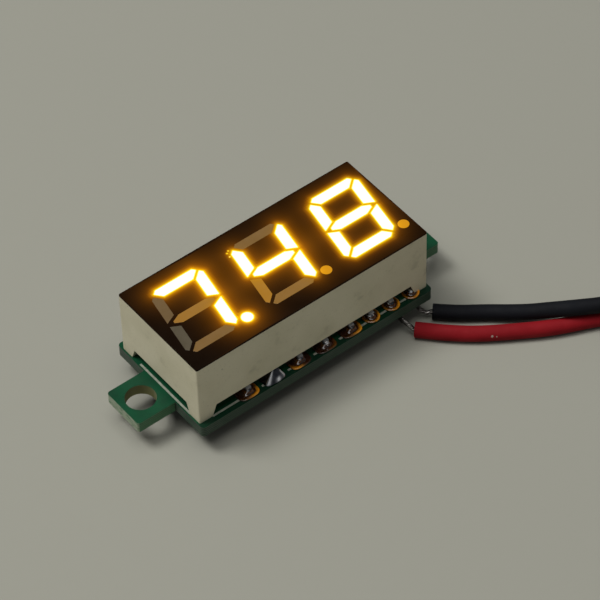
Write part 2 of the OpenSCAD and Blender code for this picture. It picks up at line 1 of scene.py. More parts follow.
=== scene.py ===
"""Looks of a three-digit LED panel meter with its two supply wires.

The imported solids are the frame. Where a solid's shape is right it keeps it and gets a finish;
strokes, film, print, front joints, reservoir capacitor, strands and wires are replaced by finer
surfaces in the same room.
Sizes are in millimetres and become metres only where a mesh is made.
"""

import logging
import math
from collections.abc import Callable, Sequence
from dataclasses import dataclass, field
from enum import Enum

import bpy
import numpy as np
from mathutils import Matrix, Vector
from mathutils.geometry import delaunay_2d_cdt


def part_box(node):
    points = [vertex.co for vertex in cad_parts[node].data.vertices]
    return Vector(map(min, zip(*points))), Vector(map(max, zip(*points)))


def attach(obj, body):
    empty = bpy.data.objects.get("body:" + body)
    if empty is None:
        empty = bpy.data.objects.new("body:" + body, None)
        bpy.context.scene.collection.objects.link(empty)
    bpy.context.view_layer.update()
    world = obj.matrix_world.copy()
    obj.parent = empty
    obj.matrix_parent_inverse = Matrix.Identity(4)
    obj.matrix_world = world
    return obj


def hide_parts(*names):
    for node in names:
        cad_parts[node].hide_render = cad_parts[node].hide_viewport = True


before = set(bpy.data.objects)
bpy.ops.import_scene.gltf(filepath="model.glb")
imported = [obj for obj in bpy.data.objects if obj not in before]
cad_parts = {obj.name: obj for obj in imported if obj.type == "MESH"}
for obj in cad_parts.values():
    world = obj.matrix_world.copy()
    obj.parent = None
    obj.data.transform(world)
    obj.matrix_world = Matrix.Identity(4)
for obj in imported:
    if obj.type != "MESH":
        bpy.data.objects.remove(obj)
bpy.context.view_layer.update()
log = logging.getLogger("panel_meter")

MM = 0.001
Shell = tuple[np.ndarray, list[list[int]]]
Tree, Socket = bpy.types.NodeTree, bpy.types.NodeSocket


# ---- small tools


def linear(colour: str) -> tuple[float, float, float, float]:
    """Turns an sRGB hex colour to linear red, green and blue, and a full alpha."""
    parts = [int(colour[i : i + 2], 16) / 255 for i in (1, 3, 5)]
    return (*[p / 12.92 if p <= 0.04045 else ((p + 0.055) / 1.055) ** 2.4 for p in parts], 1.0)


def add(tree: Tree, kind: str, inputs: dict | None = None, **settings: object) -> bpy.types.Node:
    """Adds a node with its settings, values and links.

    Args:
        tree: the tree that takes the node.
        kind: the node's type without its common prefix.
        inputs: by socket name or number, a value or the socket it is linked from.
        settings: the node's own properties.

    Returns:
        The new node.
    """
    node = tree.nodes.new("ShaderNode" + kind)
    for key, value in settings.items():
        setattr(node, key, value)
    for key, value in (inputs or {}).items():
        if isinstance(value, Socket):
            tree.links.new(value, node.inputs[key])
        else:
            node.inputs[key].default_value = value
    return node


def stand(name: str, data: bpy.types.ID) -> bpy.types.Object:
    """Puts a mesh, a lamp or a camera into the scene."""
    obj = bpy.data.objects.new(name, data)
    bpy.context.scene.collection.objects.link(obj)
    return obj


def along(a: np.ndarray) -> np.ndarray:
    """Gives each row of an array unit length."""
    return a / np.linalg.norm(a, axis=-1, keepdims=True)


def run_of(path: np.ndarray) -> np.ndarray:
    """Gives the length along a path from its start to each of its points."""
    return np.concatenate([[0], np.cumsum(np.linalg.norm(np.diff(path, axis=0), axis=1))])


def loft(rings: np.ndarray) -> Shell:
    """Skins a stack of closed rings and closes both ends.

    Point k of ring i joins point k + 1 of the same ring and point k of the next; each end
    closes on the mean of its ring. A shell whose signed volume is negative is turned over.

    Args:
        rings: an array of rings by points by three coordinates.

    Returns:
        The points and the faces.
    """
    rows, cols, _ = rings.shape
    i, k = np.meshgrid(np.arange(rows - 1), np.arange(cols), indexing="ij")
    n = (k + 1) % cols
    quads = np.stack([i * cols + k, i * cols + n, (i + 1) * cols + n, (i + 1) * cols + k], -1).reshape(-1, 4)
    k = np.arange(cols)
    n = (k + 1) % cols
    low, high, last = rows * cols, rows * cols + 1, (rows - 1) * cols
    first_cap = np.stack([np.full(cols, low), n, k], -1)
    last_cap = np.stack([np.full(cols, high), last + k, last + n], -1)
    points = np.vstack([rings.reshape(-1, 3), rings[0].mean(0), rings[-1].mean(0)])
    tris = np.vstack([quads[:, [0, 1, 2]], quads[:, [0, 2, 3]], first_cap, last_cap])
    corner = points[tris] - points.mean(0)
    if np.einsum("ij,ij->i", corner[:, 0], np.cross(corner[:, 1], corner[:, 2])).sum() < 0:
        quads, first_cap, last_cap = quads[:, ::-1], first_cap[:, ::-1], last_cap[:, ::-1]
    return points, [*quads.tolist(), *first_cap.tolist(), *last_cap.tolist()]


def join(shells: Sequence[Shell]) -> Shell:
    """Puts several shells into one: all the points, and all the faces counted on."""
    starts = np.cumsum([0, *[len(p) for p, _ in shells[:-1]]])
    faces = [[v + int(s) for v in f] for (_, fs), s in zip(shells, starts, strict=True) for f in fs]
    return np.vstack([p for p, _ in shells]), faces


def piece(
    name: str,
    shell: Shell,
    finish: "Finish",
    replaces: Sequence[str] = (),
    marks: dict[str, np.ndarray] | None = None,
    crease: float = 40.0,
) -> bpy.types.Object:
    """Makes a piece of the part from points in millimetres.

    Args:
        name: the piece's name.
        shell: its points and faces.
        finish: what it is made of.
        replaces: the solids that it stands for.
        marks: one number for each point, by attribute name.
        crease: edges sharper than this many degrees stay sharp; at 0 every face is flat.

    Returns:
        The new object, riding on the part.
    """
    points, faces = shell
    mesh = bpy.data.meshes.new(name)
    mesh.from_pydata((points * MM).tolist(), [], faces)
    for key, values in (marks or {}).items():
        mesh.attributes.new(key, "FLOAT", "POINT").data.foreach_set("value", values.astype(np.float32))
    if crease:
        mesh.shade_smooth()
        mesh.set_sharp_from_angle(angle=math.radians(crease))
    mesh.materials.append(finish.material())
    obj = stand(name, mesh)
    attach(obj, "root")
    if replaces:
        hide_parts(*replaces)
    log.info("%s: %d faces", name, len(faces))
    return obj


def dress(nodes: Sequence[str], finish: "Finish") -> None:
    """Gives solids of the frame their finish."""
    for node in nodes:
        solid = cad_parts[node].data
        solid.materials.clear()
        solid.materials.append(finish.material())
        log.info("%s: %s", node, finish.name)


def recast(node: str, name: str, finish: "Finish", move: Callable[[np.ndarray], np.ndarray]) -> bpy.types.Object:
    """Makes a piece from a solid's own faces, with its points moved a little, in millimetres."""
    faces = [list(face.vertices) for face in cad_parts[node].data.polygons]
    return piece(name, (move(corners(node)), faces), finish, [node], crease=0)


def span(node: str) -> tuple[np.ndarray, np.ndarray]:
    """Gives a solid's lowest and highest corners in millimetres."""
    low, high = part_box(node)
    return np.array(low) / MM, np.array(high) / MM


def corners(node: str) -> np.ndarray:
    """Gives all of a solid's points in millimetres."""
    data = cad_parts[node].data
    points = np.empty(len(data.vertices) * 3)
    data.vertices.foreach_get("co", points)
    return points.reshape(-1, 3) / MM


# ---- finishes


@dataclass(frozen=True)
class Graph:
    """A material's nodes in the making, and the coordinates that its patterns read."""

    tree: Tree
    place: Socket

    def step(self, kind: str, inputs: dict | None = None, out: int | str = 0, **settings: object) -> Socket:
        """Adds a node with its inputs and settings, and gives one of its outputs."""
        return add(self.tree, kind, inputs, **settings).outputs[out]

    def noise(self, size: float, detail: float = 3.0, place: Socket | None = None) -> Socket:
        """Gives a noise from 0 to 1 whose spots have this size in millimetres."""
        where = self.place if place is None else place
        return self.step("TexNoise", {"Vector": where, "Scale": 1 / (size * MM), "Detail": detail}, "Fac")

    def remap(self, value: Socket, low: float, high: float, to: float = 0.0, end: float = 1.0) -> Socket:
        """Stretches a number from one range to another, and holds it at the ends."""
        return self.step("MapRange", {0: value, 1: low, 2: high, 3: to, 4: end})

    def blend(self, share: Socket, first: Socket | str, second: Socket | str) -> Socket:
        """Mixes two colours, each a socket or an sRGB hex, by the share of the second."""
        pair = [linear(c) if isinstance(c, str) else c for c in (first, second)]
        return self.step("Mix", {0: share, 6: pair[0], 7: pair[1]}, 2, data_type="RGBA")

    def mark(self, name: str) -> Socket:
        """Gives the number that each point of a mesh has under this name."""
        return self.step("Attribute", out="Fac", attribute_name=name)

    def math(self, operation: str, *values: Socket) -> Socket:
        """Works out a number from one or two others."""
        return self.step("Math", dict(enumerate(values)), operation=operation)

    def scaled(self, colour: str, share: Socket) -> Socket:
        """Gives a share of an sRGB hex colour."""
        return self.step("VectorMath", {0: linear(colour)[:3], "Scale": share}, operation="SCALE")

    def away(self, place: Socket, middle: tuple[float, float, float]) -> Socket:
        """Gives the distance from a point in millimetres, in metres."""
        inputs = {0: place, 1: tuple(c * MM for c in middle)}
        return self.step("VectorMath", inputs, "Value", operation="DISTANCE")


@dataclass(frozen=True)
class Finish:
    """A material whose colour drifts in soft patches and whose surface has a fine grain.

    Attributes:
        name: what it is and how it was made.
        slot: the record's slot; not used.
        colour: sRGB hex of most of it.
        shade: sRGB hex that it drifts to.
        patch: size of the patches in millimetres.
        roughness: middle of its roughness.
        uneven: how far roughness strays from the middle.
        metallic: 1 for a metal.
        ior: left alone for a metal.
        grain: size of the grain in millimetres.
        lift: height of the grain in millimetres.
        coat: weight of a clear layer on top.
        coat_roughness: roughness of that layer.
    """

    name: str
    slot: str
    colour: str
    shade: str
    patch: float = 2.0
    roughness: float = 0.5
    uneven: float = 0.06
    metallic: float = 0.0
    ior: float = 1.5
    grain: float = 0.12
    lift: float = 0.004
    coat: float = 0.0
    coat_roughness: float = 0.08

    def material(self) -> bpy.types.Material:
        """Builds the material once, and returns it."""
        made = bpy.data.materials.get(self.name)
        if made:
            return made
        made = bpy.data.materials.new(self.name)
        made.use_nodes = True
        made.node_tree.nodes.clear()
        graph = Graph(made.node_tree, add(made.node_tree, "TexCoord").outputs["Object"])
        inputs = {
            "Base Color": self.tint(graph),
            "Metallic": self.metallic,
            "Roughness": self.gloss(graph),
            "IOR": self.ior,
            "Coat Weight": self.coat,
            "Coat Roughness": self.coat_roughness,
            "Normal": self.relief(graph),
            **self.extras(graph),
        }
        add(made.node_tree, "OutputMaterial", {"Surface": graph.step("BsdfPrincipled", inputs)})
        return made

    def tint(self, graph: Graph) -> Socket:
        """Gives the colour: most of it, drifting to the shade in patches."""
        return graph.blend(graph.remap(graph.noise(self.patch), 0.35, 0.7), self.colour, self.shade)

    def gloss(self, graph: Graph) -> Socket:
        """Gives the roughness, uneven in patches half the colour's size."""
        low, high = self.roughness - self.uneven, self.roughness + self.uneven
        return graph.remap(graph.noise(self.patch / 2), 0.3, 0.7, low, high)

    def relief(self, graph: Graph) -> Socket:
        """Gives the bumped normal of the fine grain."""
        height = graph.noise(self.grain, 2.0)
        return graph.step("Bump", {"Height": height, "Distance": self.lift * MM, "Strength": 1.0})

    def extras(self, graph: Graph) -> dict[str, Socket | float]:
        """Gives the shader's inputs that only one finish has; a plain one has none."""
        return {}


@dataclass(frozen=True)
class MouldedShell(Finish):
    """White polycarbonate, injection moulded and handled: satin, with a few dark specks."""

    speck: str = "#4d463a"
    smudge: str = "#a19c83"
    smudge_size: float = 1.5
    dust_size: float = 0.16
    speck_gap: float = 1.9
    speck_rag: float = 0.25

    def tint(self, graph: Graph) -> Socket:
        """Gives the shell's colour with soft grey smudges, fine dust and ragged dark specks."""
        rubbed = graph.remap(graph.noise(self.smudge_size, 4.0), 0.61, 0.76, 0.0, 0.55)
        dust = graph.remap(graph.noise(self.dust_size, 1.0), 0.62, 0.8, 0.0, 0.3)
        base = graph.blend(dust, graph.blend(rubbed, Finish.tint(self, graph), self.smudge), self.smudge)
        cells = {"Vector": graph.place, "Scale": 1 / (self.speck_gap * MM)}
        spots = graph.step("TexVoronoi", cells, "Distance")
        edge = graph.math("ADD", spots, graph.noise(self.speck_rag))
        return graph.blend(graph.remap(edge, 0.35, 0.44, 0.7, 0.0), base, self.speck)


@dataclass(frozen=True)
class GlowFilm(Finish):
    """Black printed PET film with a painted glow round the lit strokes beside it, emission that stands in for their
    light.

    Each point's `bloom` falls with its distance from the nearest lit stroke, and its `haze`
    is the weaker light that crosses the whole digit.
    """

    glow: tuple[tuple[float, str], ...] = (
        (0.0, "#000000"), (0.07, "#2c1300"), (0.23, "#714400"), (0.48, "#a87a00"),
        (0.68, "#d8ae00"), (0.82, "#f2d613"), (0.92, "#ffee78"), (1.0, "#fffbe0"),
    )
    haze_glow: str = "#4b2901"
    power: float = 1.25

    def extras(self, graph: Graph) -> dict[str, Socket | float]:
        """Gives the painted glow: pale at a stroke's edge, then yellow, then orange, and a brown haze."""
        bloom, haze = graph.mark("bloom"), graph.mark("haze")
        near = add(graph.tree, "ValToRGB", {0: bloom})
        stops = near.color_ramp.elements
        while len(stops) < len(self.glow):
            stops.new(0.5)
        for stop, (at, colour) in zip(stops, self.glow, strict=True):
            stop.position, stop.color = at, linear(colour)
        both = graph.step("VectorMath", {0: near.outputs[0], 1: graph.scaled(self.haze_glow, haze)}, operation="ADD")
        return {"Emission Color": both, "Emission Strength": self.power}


@dataclass(frozen=True)
class LitResin(Finish):
    """Diffusing epoxy over a lit chip: evenly bright, warmer in a thin rim at the well's wall."""

    rim: str = "#f5d84e"
    core: str = "#fff8e6"
    rim_t: float = 0.07
    power: float = 1.25

    def extras(self, graph: Graph) -> dict[str, Socket | float]:
        """Gives the light, by each point's distance from the rim in millimetres."""
        light = graph.blend(graph.remap(graph.mark("inward"), 0.0, self.rim_t), self.rim, self.core)
        return {"Emission Color": light, "Emission Strength": self.power}


@dataclass(frozen=True)
class IdleResin(Finish):
    """The same epoxy over a chip that is off, warmed by light that leaks from its neighbours."""

    leak: str = "#ffae00"
    warm: str = "#2e1c00"

    def tint(self, graph: Graph) -> Socket:
        """Gives the resin's grey, which gives way to a deep amber where light comes through."""
        return graph.blend(graph.remap(graph.mark("spill"), 0.0, 0.5), Finish.tint(self, graph), self.warm)

    def extras(self, graph: Graph) -> dict[str, Socket | float]:
        """Gives the leaked light that each point has in `spill`."""
        return {"Emission Color": graph.scaled(self.leak, graph.mark("spill")), "Emission Strength": 1.0}


@dataclass(frozen=True)
class LaminateBoard(Finish):
    """FR-4 glass laminate under green solder mask; its routed edges show the bare plies.

    `wave` is the wave pattern's period in metres at a scale of 1.
    """

    # the body's edges are darker than the ears' partly as painted shade of the housing over them
    side: str = "#22392d"
    ear_side: str = "#3c6b49"
    frayed: str = "#97a28a"
    bore: str = "#6b6b44"
    ear_x: float = 11.45
    end_x: float = 14.85
    hole_x: float = 13.2
    hole_r: float = 1.32
    ply_t: float = 0.2
    wave: float = 0.31
    seam: float = 0.05
    # colour and band of the painted shade along the front lead row
    front_shade: str = "#04140d"
    front_shade_y: tuple[float, float] = (-5.15, -4.75)

    def tint(self, graph: Graph) -> Socket:
        """Gives the mask's green on the faces, and on the edges the bare glass: dark along the
        body, partly the glass and partly painted shade under the housing, greener on the ears,
        frayed and pale at their ends, and olive in the screw holes.
        Along the front lead row the mask is darkened with painted shade, the shade of the housing above it."""
        apart = add(graph.tree, "SeparateXYZ", {0: graph.place}).outputs
        start, end = self.front_shade_y
        # painted shade: the mask darkens towards the front lead row, where the housing shades it
        shade_share = graph.remap(apart[1], start * MM, end * MM, 0.6, 0.0)
        mask = graph.blend(shade_share, Finish.tint(self, graph), self.front_shade)
        x, y = graph.math("ABSOLUTE", apart[0]), graph.math("ABSOLUTE", apart[1])
        on_ear = graph.remap(x, self.ear_x * MM, (self.ear_x + self.seam) * MM)
        waves = {"Vector": graph.place, "Scale": self.wave / (self.ply_t * MM), "Distortion": 3.0, "Detail": 3.0}
        layers = graph.remap(graph.step("TexWave", waves, "Fac", bands_direction="Z"), 0.3, 0.9, 0.0, 0.16)
        # body edges darker than ear edges: partly bare glass, partly painted shade under the housing
        bare = graph.blend(layers, graph.blend(on_ear, self.side, self.ear_side), self.frayed)
        squeezed = graph.step("Mapping", {"Vector": graph.place, "Scale": (1.0, 1.0, 3.0)})
        worn = graph.remap(graph.noise(0.5, 5.0, squeezed), 0.28, 0.55)
        at_end = graph.remap(x, (self.end_x - self.seam) * MM, self.end_x * MM)
        bare = graph.blend(graph.math("MULTIPLY", at_end, worn), bare, self.frayed)
        from_hole = graph.away(graph.step("CombineXYZ", {0: x, 1: y}), (self.hole_x, 0.0, 0.0))
        bored = graph.remap(from_hole, self.hole_r * MM, (self.hole_r + 0.02) * MM, 1.0, 0.0)
        up = graph.step("SeparateXYZ", {0: graph.step("NewGeometry", out="Normal")}, 2)
        level = graph.remap(graph.math("ABSOLUTE", up), 0.45, 0.55)
        return graph.blend(level, graph.blend(bored, bare, self.bore), mask)


@dataclass(frozen=True)
class ScuffedVinyl(Finish):
    """Soft PVC pulled over the strands: satin, with a pale scuff where the surface is torn.

    `at` holds each scuff's place and size.
    """

    scuff: str = "#a0968a"
    tear: float = 0.11
    at: tuple[tuple[float, float, float, float], ...] = ((12.93, -11.07, 0.9, 0.2), (13.22, -11.28, 0.86, 0.14))

    def tint(self, graph: Graph) -> Socket:
        """Gives the vinyl's colour with ragged pale spots at a few places."""
        colour = Finish.tint(self, graph)
        ragged = graph.noise(self.tear)
        for x, y, z, size in self.at:
            near = graph.remap(graph.away(graph.place, (x, y, z)), 0.0, size * MM, 1.0, 0.0)
            torn = graph.math("MULTIPLY", near, ragged)
            colour = graph.blend(graph.remap(torn, 0.2, 0.28, 0.0, 0.85), colour, self.scuff)
        return colour


@dataclass(frozen=True)
class FrozenSolder(Finish):
    """Tin solder that froze as it was drawn up: dull hollows, and white painted highlights on the ridges, by a mark on
    each point.
    """

    glint_white: str = "#ffffff"

    def tint(self, graph: Graph) -> Socket:
        """Gives the metal's colour, with white painted highlights on the ridges."""
        return graph.blend(graph.mark("painted_glint"), Finish.tint(self, graph), self.glint_white)

    def extras(self, graph: Graph) -> dict[str, Socket | float]:
        """Makes the painted highlights less metallic, so that their white shows as bright glints."""
        return {"Metallic": graph.remap(graph.mark("painted_glint"), 0.3, 1.0, 1.0, 0.2)}


@dataclass(frozen=True)
class BurntFlux(Finish):
    """Rosin flux after the iron: nearly black inside, clear amber in the thick rim, lit up on some sides by a painted
    highlight, marked `clear`.
    """

    amber: str = "#f29c1a"

    def tint(self, graph: Graph) -> Socket:
        """Gives the burnt brown, and amber in the rim, where the painted highlight also goes."""
        return graph.blend(graph.mark("clear"), Finish.tint(self, graph), self.amber)


PLASTIC = MouldedShell(
    "moulded white polycarbonate", "white_plastic", "#d4cdb1", "#cac3a6",
    3.0, 0.45, ior=1.4, grain=0.2, lift=0.005,
)
FILM = GlowFilm(
    "printed black PET film", "black_film", "#110a05", "#150d07",
    2.5, 0.3, ior=1.1, grain=0.08, lift=0.001,
)
LIT = LitResin("diffusing epoxy, lit", "lit_resin", "#e6d8b0", "#ddcda0", 1.5, 0.4)
IDLE = IdleResin("diffusing epoxy, off", "amber_resin", "#4d4534", "#544b3a", 1.2, 0.5, ior=1.3)
CHIP = Finish("gallium chip crystal", "chip_crystal", "#c8b45a", "#b49c48", 0.1, 0.3)
POTTING = Finish("cast epoxy potting", "clear_resin", "#cfcab8", "#c2bba4", 1.5, 0.25, coat=0.3)
MASK = LaminateBoard(
    "FR-4 under green solder mask", "board_green", "#084429", "#063620",
    1.6, 0.4, ior=1.3, grain=0.3, lift=0.004,
)
INK = Finish(
    "screen-printed white epoxy ink", "white_print", "#98998a", "#7e8373",
    0.4, 0.6, grain=0.08, lift=0.005,
)
COPPER = Finish("etched copper under rosin", "copper", "#d08a34", "#8a4a14", 0.35, 0.26, 0.1, 1.0, coat=0.4)
TIN = Finish("stamped tinned steel", "tinned_steel", "#b4b4b0", "#8f8f8c", 0.5, 0.32, 0.08, 1.0)
SOLDER = FrozenSolder(
    "reflowed tin solder", "solder", "#5c5f64", "#3c3e42",
    0.3, 0.14, 0.05, 1.0, grain=0.3, lift=0.003,
)
ROSIN = BurntFlux(
    "burnt rosin flux", "amber_resin", "#3a1a0b", "#1c0d06",
    0.4, 0.14, 0.05, coat=0.6, grain=0.25, lift=0.004,
)
MOULD = Finish("transfer-moulded black epoxy", "black_epoxy", "#26272a", "#1d1e20", 0.8, 0.6, grain=0.06, lift=0.006)
GLAZE = Finish("black glass glaze", "black_glaze", "#1d1d20", "#141416", 0.5, 0.25, coat=0.5)
CERAMIC = Finish("fired tan ceramic", "tan_ceramic", "#a98a66", "#9a7a56", 0.4, 0.5)
RED_PVC = ScuffedVinyl(
    "extruded red PVC", "red_pvc", "#850a14", "#770811",
    2.5, 0.78, 0.06, ior=1.3, grain=0.3, lift=0.005,
)
BLACK_PVC = Finish(
    "extruded black PVC", "black_pvc", "#05060b", "#080a10",
    2.5, 0.78, 0.06, ior=1.3, grain=0.3, lift=0.005,
)
STRAND = Finish("drawn tinned copper strand", "tinned_strand", "#7f7c77", "#3a3733", 0.25, 0.36, 0.1, 1.0)
NYLON = Finish("moulded black nylon", "tie_nylon", "#1b1b1d", "#232326", 1.0, 0.45)


# ---- supply wires


@dataclass
class Turns:
    """The wound part of a wire: at each knot an angle in degrees, a radius and a height.

    Between two knots radius and height follow a smooth step, so that a turn slips inwards.
    """

    knots: Sequence[tuple[float, float, float]]
    centre: tuple[float, float] = (37.5, -13.7)

    def points(self, angles: np.ndarray) -> np.ndarray:
        """Gives the centreline's points at these angles, in millimetres."""
        at, radius, height = np.array(self.knots, float).T
        i = np.clip(np.searchsorted(at, angles, side="right") - 1, 0, len(at) - 2)
        t = np.clip((angles - at[i]) / (at[i + 1] - at[i]), 0, 1)
        s = t * t * (3 - 2 * t)
        r, z = radius[i] + (radius[i + 1] - radius[i]) * s, height[i] + (height[i + 1] - height[i]) * s
        a = np.radians(angles)
        return np.stack([self.centre[0] + r * np.cos(a), self.centre[1] + r * np.sin(a), z], -1)


def smooth_path(through: np.ndarray, step: float, cuts: int = 24) -> np.ndarray:
    """Runs a Catmull-Rom curve through points and cuts it into even steps.

    Args:
        through: the points that it goes through.
        step: the length of a step in millimetres.
        cuts: points worked out between two given ones, before the even ones are read off.

    Returns:
        Points along the curve, one step apart.
    """
    ends = np.vstack([2 * through[0] - through[1], through, 2 * through[-1] - through[-2]])
    p0, p1, p2, p3 = (ends[k : len(ends) - 3 + k, None, :] for k in range(4))
    t = np.linspace(0, 1, cuts, endpoint=False)[None, :, None]
    bend, twist = 2 * p0 - 5 * p1 + 4 * p2 - p3, 3 * p1 - p0 - 3 * p2 + p3
    curve = 0.5 * (2 * p1 + (p2 - p0) * t + bend * t**2 + twist * t**3)
    curve = np.vstack([curve.reshape(-1, 3), through[-1]])
    run = run_of(curve)
    even = np.linspace(0, run[-1], max(3, round(run[-1] / step) + 1))
    return np.stack([np.interp(even, run, curve[:, k]) for k in range(3)], -1)


def frame_along(path: np.ndarray) -> tuple[np.ndarray, np.ndarray]:
    """Gives the sideways and upward directions along a path that never stands upright.

    They are unit vectors: the heading crossed with up, and that crossed with the heading.
    """
    heading = along(np.gradient(path, axis=0))
    side = along(np.cross(heading, [0.0, 0.0, 1.0]))
    return side, np.cross(side, heading)


def sweep(centres: np.ndarray, side: np.ndarray, up: np.ndarray, radius: np.ndarray, sides: int) -> Shell:
    """Lofts circles round a path: centre plus radius times (cos side + sin up).

    Args:
        centres: the circles' middles; one that repeats steps the radius there.
        side: the sideways direction at each.
        up: the upward direction at each.
        radius: the radius at each.
        sides: points of a circle.

    Returns:
        A closed shell.
    """
    a = np.linspace(0, 2 * np.pi, sides, endpoint=False)[None, :, None]
    spokes = np.cos(a) * side[:, None] + np.sin(a) * up[:, None]
    return loft(centres[:, None] + radius[:, None, None] * spokes)


@dataclass
class SupplyWire:
    """One insulated supply wire: strands from its pad, insulation, the wound rest and a bare end."""

    colour: str
    finish: Finish
    bare_route: Sequence[Sequence[float]]
    route: Sequence[Sequence[float]]
    turns: Turns
    tip_turns: Turns
    diameter: float = 1.3
    strands_across: float = 0.4
    strand: float = 0.13
    lay_length: float = 2.2
    bore_room: float = 0.03
    soft_edge: float = 0.05
    mouth: float = 0.02
    sides: int = 24
    strand_sides: int = 8
    step: float = 0.35
    bare_step: float = 0.12
    end_step: float = 0.25
    knot_gap: float = 12.0
    tip_points: int = 36

    def centreline(self, step: float) -> np.ndarray:
        """Gives the insulation's whole centreline, one step apart."""
        first, last = self.turns.knots[0][0], self.turns.knots[-1][0]
        wound = self.turns.points(np.linspace(first, last, round((last - first) / self.knot_gap) + 1))
        return smooth_path(np.vstack([np.array(self.route, float), wound]), step)

    def insulation(self) -> bpy.types.Object:
        """Builds the insulation: a tube with softened square ends and a bore for the strands."""
        path, r, bore = self.centreline(self.step), self.diameter / 2, self.strands_across / 2 + self.bore_room
        inside = smooth_path(path[:3], self.end_step)[1:3]
        outside = smooth_path(path[-3:], self.end_step)[-3:-1]
        stations = np.vstack([inside[::-1], path[:1], path[:1], path, path[-1:], path[-1:], outside[::-1]])
        # radii from the inner end: bore, bore, mouth, edge, then the full width and the same back
        end = [bore, bore, bore + self.mouth, r - self.soft_edge]
        radius = np.concatenate([end, np.full(len(path), r), end[::-1]])
        side, up = frame_along(path)
        where = np.pad(np.arange(len(path)), len(end), mode="edge")
        shell = sweep(stations, side[where], up[where], radius, self.sides)
        name = self.colour
        return piece(f"{name}_insulation", shell, self.finish, [f"{name}_wire", f"{name}_wire_coil"])

    def twisted(self, name: str, path: np.ndarray, node: str) -> bpy.types.Object:
        """Builds seven strands, six laid round one: each is the path moved out by one strand
        width, turned once in every lay length.

        Args:
            name: the piece's name.
            path: the middle strand's points.
            node: the solid that the strands stand for.

        Returns:
            The piece.
        """
        side, up = frame_along(path)
        run = run_of(path)
        start = np.concatenate([[0.0], np.arange(6) * np.pi / 3])
        out = np.array([0.0] + [self.strand] * 6)
        turn = 2 * np.pi * run[None] / self.lay_length + start[:, None]
        spokes = np.cos(turn)[..., None] * side + np.sin(turn)[..., None] * up
        lines = path[None] + out[:, None, None] * spokes
        width = np.full(len(path), self.strand / 2)
        strands = [sweep(line, *frame_along(line), width, self.strand_sides) for line in lines]
        return piece(name, join(strands), STRAND, [node])

    def build(self) -> None:
        """Builds the wire."""
        whole = self.centreline(self.step)
        insulation = self.insulation()
        bare = smooth_path(np.vstack([np.array(self.bare_route, float), whole[2:3]]), self.bare_step)
        strands = self.twisted(f"{self.colour}_strands", bare, f"{self.colour}_wire_core")
        first, last = self.tip_turns.knots[0][0], self.tip_turns.knots[-1][0]
        tip_path = self.tip_turns.points(np.linspace(first, last, self.tip_points))
        tip = self.twisted(f"{self.colour}_bare_end", tip_path, f"{self.colour}_wire_tip")
        (self.centreline(1.0) * MM).tolist()


RED_WIRE = SupplyWire(
    "red",
    RED_PVC,
    [[8.7, -3.5, 1.5], [8.5, -4.5, 1.15], [8.45, -5.3, 1.0], [8.6, -5.95, 0.9], [8.8, -6.5, 0.65]],
    [[8.8, -6.5, 0.65], [10.5, -8.3, 0.65], [12.3, -9.9, 0.65], [14.6, -11.5, 0.65], [17.4, -13.2, 0.65],
     [20.8, -14.8, 0.65], [24.4, -16.9, 0.65], [28.4, -19.4, 0.65], [30.6, -20.7, 0.8]],
    Turns([(240, 9.5, 0.9), (565, 9.5, 0.9), (592, 8.2, 0.9), (897, 8.2, 0.9)]),
    Turns([(894, 8.2, 0.9), (932, 8.2, 0.9)]),
)
BLACK_WIRE = SupplyWire(
    "black",
    BLACK_PVC,
    [[10.5, -3.3, 1.5], [10.4, -4.3, 1.3], [10.3, -5.1, 1], [10.6, -5.6, 0.7], [11.1, -5.9, 0.65]],
    [[11.1, -5.9, 0.65], [12.6, -7.3, 0.65], [14.4, -8.7, 0.65], [15.73, -9.94, 0.78], [16.83, -11.07, 1.05],
     [17.88, -12.24, 1.53], [18.98, -13.36, 1.94], [19.93, -14.06, 2.05], [20.94, -14.69, 2.08], [23.2, -15.9, 2.11],
     [26.2, -17.2, 2.2], [29.2, -18.6, 2.25], [31.8, -19.7, 2.25], [33.7, -20.4, 2.25]],
    Turns([(256, 6.9, 2.25), (316, 6.9, 0.9), (616, 6.9, 0.9), (646, 5.6, 0.9), (966, 5.6, 0.9), (1006, 4.3, 0.9),
           (1255, 4.3, 0.9)]),
    Turns([(1249, 4.3, 0.9), (1322, 4.3, 0.9)]),
)


# ---- display package


class Lamp(Enum):
    """What a stroke's chip does."""

    LIT = "lit"
    IDLE = "idle"


@dataclass
class Stroke:
    """One stroke or point of a digit: its outline at the film and what its chip does."""

    node: str
    lamp: Lamp
    leak: float = 0.0
    outline: np.ndarray = field(default_factory=lambda: np.zeros((0, 2)))

    def read_outline(self) -> None:
        """Takes the outline from the solid's upper face, whose corners lie round its middle."""
        points = corners(self.node)
        rim = np.unique(np.round(points[points[:, 2] > points[:, 2].max() - 0.01, :2], 4), axis=0)
        away = rim - rim.mean(0)
        self.outline = rim[np.argsort(np.arctan2(away[:, 1], away[:, 0]))]

    def distance(self, points: np.ndarray) -> np.ndarray:
        """Gives each point's distance from the outline in millimetres, below zero inside it."""
        a, b = self.outline, np.roll(self.outline, -1, 0)
        edge, to = b - a, points[:, None] - a
        t = np.clip((to * edge).sum(-1) / (edge**2).sum(-1), 0, 1)
        gap = np.linalg.norm(to - t[..., None] * edge, axis=-1).min(1)
        inside = (edge[:, 0] * to[..., 1] - edge[:, 1] * to[..., 0] > 0).all(1)
        return np.where(inside, -gap, gap)

    def dense(self, step: float = 0.12) -> np.ndarray:
        """Gives the outline with points no further apart than a step."""
        ring = np.vstack([self.outline, self.outline[:1]])
        run = run_of(ring)
        even = np.unique(np.concatenate([run[:-1], np.arange(0, run[-1], step)]))
        even = even[np.concatenate([[True], np.diff(even) > step / 4])]
        return np.stack([np.interp(even, run, ring[:, k]) for k in (0, 1)], -1)


